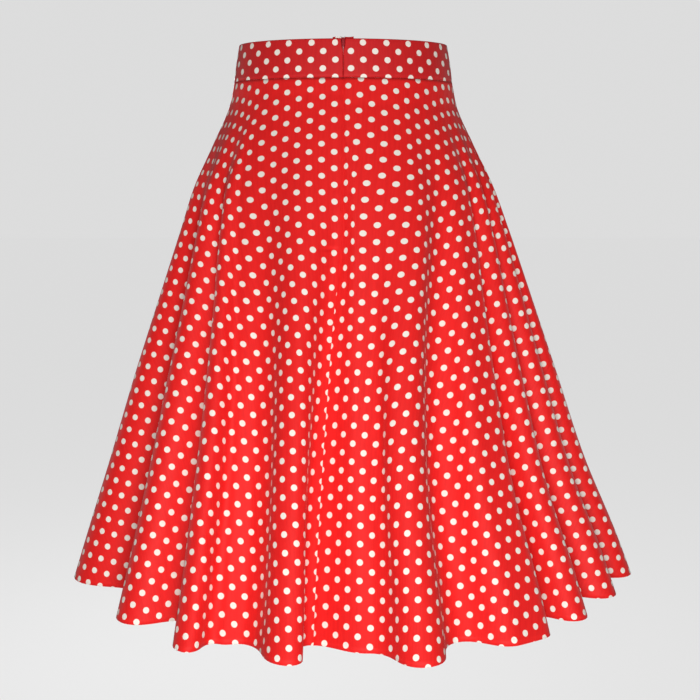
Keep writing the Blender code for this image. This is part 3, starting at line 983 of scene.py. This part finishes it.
line = down_the_zip(np.array([-COIL_BESIDE, 0.0, COIL_BESIDE]), COIL_DEPTH)
down = arc_length(line[:, 1])
at = np.linspace(0.0, down[-1], int(down[-1] / COIL_PITCH * COIL_STEPS))
middle = read_along(line[:, 1], down, at)
depth = read_along(face_out(line)[:, 1], down, at)
turn = (2 * math.pi * at / COIL_PITCH)[:, None]
aside = np.broadcast_to(np.array([1.0, 0.0, 0.0]), middle.shape)
coil_reach = COIL_HALF[0] * np.cos(turn) * aside + COIL_HALF[1] * np.sin(turn) * depth
coil_path = middle + coil_reach
print("coil turns:", int(down[-1] / COIL_PITCH))

# %% [markdown]
# ## Slider and pull
#
# Both are small castings with rounded edges and dark red enamel. A superellipsoid makes such
# a shape in one formula: it runs from an egg to a box as its power grows. The enamel is a
# little rougher and duller where noise says that fingers have rubbed it.

# %% Cast the slider and its pull
PIVOT = (0.0, 0.0925, 0.0211)
LEAN = math.atan2(BAND_LOW_HALF[1] - BAND_TOP_HALF[1], BAND_DEPTH)
# Centres and half sizes in mm from the pull's pin: across, outwards and up the band
SLIDER_PARTS = (
    {"centre": (0.0, -2.35, -3.5), "half": (2.0, 1.35, 4.6), "power": 5.0, "narrow": 0.18},
    {"centre": (0.0, -1.15, -5.2), "half": (0.5, 0.45, 2.4), "power": 3.0, "narrow": 0.3},
    {"centre": (-1.65, -0.2, 0.0), "half": (0.35, 1.2, 1.1), "power": 3.0, "narrow": 0.0},
    {"centre": (1.65, -0.2, 0.0), "half": (0.35, 1.2, 1.1), "power": 3.0, "narrow": 0.0},
)
PULL_PARTS = (
    {"centre": (0.0, 0.0, -5.5), "half": (1.0, 0.4, 5.0), "power": 4.0, "narrow": -0.25},
    {"centre": (0.0, 0.0, 0.0), "half": (1.0, 0.6, 0.6), "power": 2.6, "narrow": 0.0},
    {"centre": (0.0, 0.0, -8.2), "half": (0.62, 0.5, 1.7), "power": 2.5, "narrow": 0.0},
)
CASTING_STEPS = (16, 28)
ENAMEL_SHADES = ((0.27, 0.008, 0.014), (0.38, 0.012, 0.019))
ENAMEL_PATCHES = {"Scale": 900.0, "Detail": 3.0}
ENAMEL_ROUGHNESS = {"To Min": 0.24, "To Max": 0.45}
ENAMEL_COAT = 0.3


def casting(part):
    """points[round, along] of a superellipsoid: each axis is half * c^(2 / power), with the
    signs of the sines and cosines c kept, and narrower towards its foot by narrow."""
    along, round_it = CASTING_STEPS
    up = np.linspace(-math.pi / 2, math.pi / 2, along)[None, :]
    turn = np.linspace(-math.pi, math.pi, round_it, endpoint=False)[:, None]
    power = 2.0 / part["power"]

    def bent(value):
        return np.sign(value) * np.abs(value) ** power

    level = bent(np.sin(up)) + 0.0 * turn
    width = 1 - part["narrow"] * (1 - level) / 2
    local = np.stack([bent(np.cos(up)) * bent(np.cos(turn)) * width,
                      bent(np.cos(up)) * bent(np.sin(turn)), level], -1)
    local = (local * np.array(part["half"]) + np.array(part["centre"])) * MM
    out = np.array([0.0, math.cos(LEAN), math.sin(LEAN)])
    rise = np.array([0.0, -math.sin(LEAN), math.cos(LEAN)])
    aside = local[..., :1] * np.array([1.0, 0.0, 0.0])
    return np.array(PIVOT) + aside + local[..., 1:2] * out + local[..., 2:] * rise


def make_enamel():
    """Dark red enamel, duller and rougher in soft patches."""
    material, tree, shader = new_material("red_enamel", {"Coat Weight": ENAMEL_COAT})
    place = add_node(tree, "TexCoord", {})["Object"]
    patches = add_node(tree, "TexNoise", {"Vector": place, **ENAMEL_PATCHES})["Fac"]
    tree.links.new(mixed(tree, patches, *ENAMEL_SHADES), shader.inputs["Base Color"])
    rubbed = add_node(tree, "MapRange", {"Value": patches, **ENAMEL_ROUGHNESS})["Result"]
    tree.links.new(rubbed, shader.inputs["Roughness"])
    return material


def joined_mesh(name, grids, material):
    """One mesh of several closed grids."""
    whole = bmesh.new()
    for grid in grids:
        part = closed_mesh(name + "_part", grid, material)
        whole.from_mesh(part)
        bpy.data.meshes.remove(part)
    mesh = bpy.data.meshes.new(name)
    whole.to_mesh(mesh)
    whole.free()
    mesh.materials.append(material)
    mesh.shade_smooth()
    return mesh


enamel = make_enamel()
slider = new_piece("slider_body", joined_mesh("slider_body", map(casting, SLIDER_PARTS), enamel),
                   "skirt", "zip_metal", "zip_slider")
pull = new_piece("pull_tab", joined_mesh("pull_tab", map(casting, PULL_PARTS), enamel),
                 "pull", "zip_metal", "zip_pull")
coil_wire = tube(coil_path, coil_reach, COIL_WIRE, COIL_SIDES)
coil = new_piece("zip_coil", closed_mesh("zip_coil", coil_wire, enamel), "skirt", "zip_tape")
print("slider faces:", len(slider.data.polygons), "coil faces:", len(coil.data.polygons))

# %% [markdown]
# ## The folded ends above the zip
#
# Where the zip's tapes end, a little of the dotted cloth is folded down behind the band and
# stands just proud of it. Each end is a strip bent over its top like a hairpin.

# %% Fold the two ends
END_WIDE = 0.0102
END_FROM_SEAM = 0.0012
END_ABOVE = 0.0017
END_BELOW = 0.010
END_BEND = 0.0006
END_INSIDE = 0.0034
END_STEPS = (8, 9, 7)
END_SLACK = 0.0005
END_SLACK_FROM = 0.3
END_SLACK_TO = 3.4
END_START = (0.0052, 0.0098)


def folded_end(direction):
    """Points of a hairpin strip: straight up, over a half circle and straight down again."""
    straight, bend, columns = END_STEPS
    rise = np.linspace(-END_BELOW, 0.0, straight)
    turn = np.linspace(0.0, math.pi, bend)[1:-1]
    over = END_BEND * (1 - np.cos(turn))
    depth = np.concatenate([np.zeros(straight), over, np.full(straight, 2 * END_BEND)])
    up = np.concatenate([rise, END_BEND * np.sin(turn), rise[::-1]])
    aside = direction * (END_FROM_SEAM + np.linspace(0.0, END_WIDE, columns))
    slack = END_SLACK * np.sin(np.linspace(END_SLACK_FROM, END_SLACK_TO, columns)) * direction
    top = BAND_DEPTH / 2 + END_ABOVE - END_BEND
    y = BAND_TOP_HALF[1] * np.sqrt(1 - (aside / BAND_TOP_HALF[0]) ** 2) - END_INSIDE
    grid_up = top + up[:, None] + slack[None, :]
    grid_y = y[None, :] - depth[:, None] - math.tan(LEAN) * up[:, None]
    points = np.stack([np.broadcast_to(aside, grid_y.shape), grid_y, grid_up], -1)
    down = arc_length(points.transpose(1, 0, 2))[0]
    flat = np.stack(np.broadcast_arrays(aside[None, :], down[:, None]), -1)
    return points, flat


# The folded ends take the band's deeper red, which is painted shade.
end_sateen = make_sateen("folded_end_sateen", END_START, BAND_PAINTED_SHADE)
for name, direction in (("left_folded_end", 1.0), ("right_folded_end", -1.0)):
    points, flat = folded_end(direction)
    piece = new_piece(name, cloth_mesh(name, points, flat, end_sateen), "skirt", "band_cloth")
    thicken(piece, CLOTH)
print("folded ends:", END_WIDE, "m wide")

# %% [markdown]
# ## Light, floor and finish
#
# The photograph was lit softly and almost evenly from the camera's side, so the light is a
# pale sky with one large soft lamp on that side and a weak one to its left. One more lamp
# before the skirt and one on each side keep a turned view from being dark. The floor is a
# plain sheet well below the hem. To the camera, and only to it, floor and sky look brighter.

# %% Light the skirt
FLOOR_HEIGHT = -1.60
FLOOR_HALF = 30.0
FLOOR_SEEN = 0.69
SKY_LIGHT = 0.16
SKY_SEEN = 0.72
FLOOR_COLOUR = 0.06
FLOOR_ROUGHNESS = 0.9
WHITE = (1.0, 1.0, 1.0, 1.0)
# Columns: name, place, radius, power in W
LAMPS = (
    ("key_lamp", (-0.04, 2.0, -0.46), 0.35, 127.0),
    ("fill_lamp", (1.3, 2.2, -0.4), 0.5, 4.0),
    ("front_lamp", (0.4, -2.6, 0.1), 0.4, 185.0),
    ("left_side_lamp", (2.2, -1.5, -0.2), 0.5, 26.0),
    ("right_side_lamp", (-2.2, -1.5, -0.2), 0.5, 26.0),
)


def glow(tree, seen, socket):
    """A strength that is SKY_LIGHT for most rays, and seen for the camera's own."""
    ray = add_node(tree, "LightPath", {})["Is Camera Ray"]
    strength = add_node(tree, "MapRange", {"Value": ray, "To Min": SKY_LIGHT, "To Max": seen})
    tree.links.new(strength["Result"], socket)


corners = [(-1, -1), (1, -1), (1, 1), (-1, 1)]
floor_mesh = bpy.data.meshes.new("floor")
floor_mesh.from_pydata([(x * FLOOR_HALF, y * FLOOR_HALF, FLOOR_HEIGHT) for x, y in corners],
                       [], [(0, 1, 2, 3)])
floor_look, floor_tree, floor_shader = new_material("floor_look", {
    "Base Color": (FLOOR_COLOUR, FLOOR_COLOUR, FLOOR_COLOUR, 1.0),
    "Roughness": FLOOR_ROUGHNESS,
    "Emission Color": WHITE,
})
glow(floor_tree, FLOOR_SEEN, floor_shader.inputs["Emission Strength"])
floor_mesh.materials.append(floor_look)
floor = bpy.data.objects.new("floor", floor_mesh)
bpy.context.scene.collection.objects.link(floor)

for name, place, radius, power in LAMPS:
    light = bpy.data.lights.new(name, "POINT")
    light.shadow_soft_size = radius
    light.energy = power
    lamp = bpy.data.objects.new(name, light)
    lamp.location = place
    bpy.context.scene.collection.objects.link(lamp)

world = bpy.data.worlds.new("pale_sky")
world.use_nodes = True
backdrop = world.node_tree.nodes["Background"]
backdrop.inputs["Color"].default_value = WHITE
glow(world.node_tree, SKY_SEEN, backdrop.inputs["Strength"])
bpy.context.scene.world = world
print("lamps:", [row[0] for row in LAMPS])
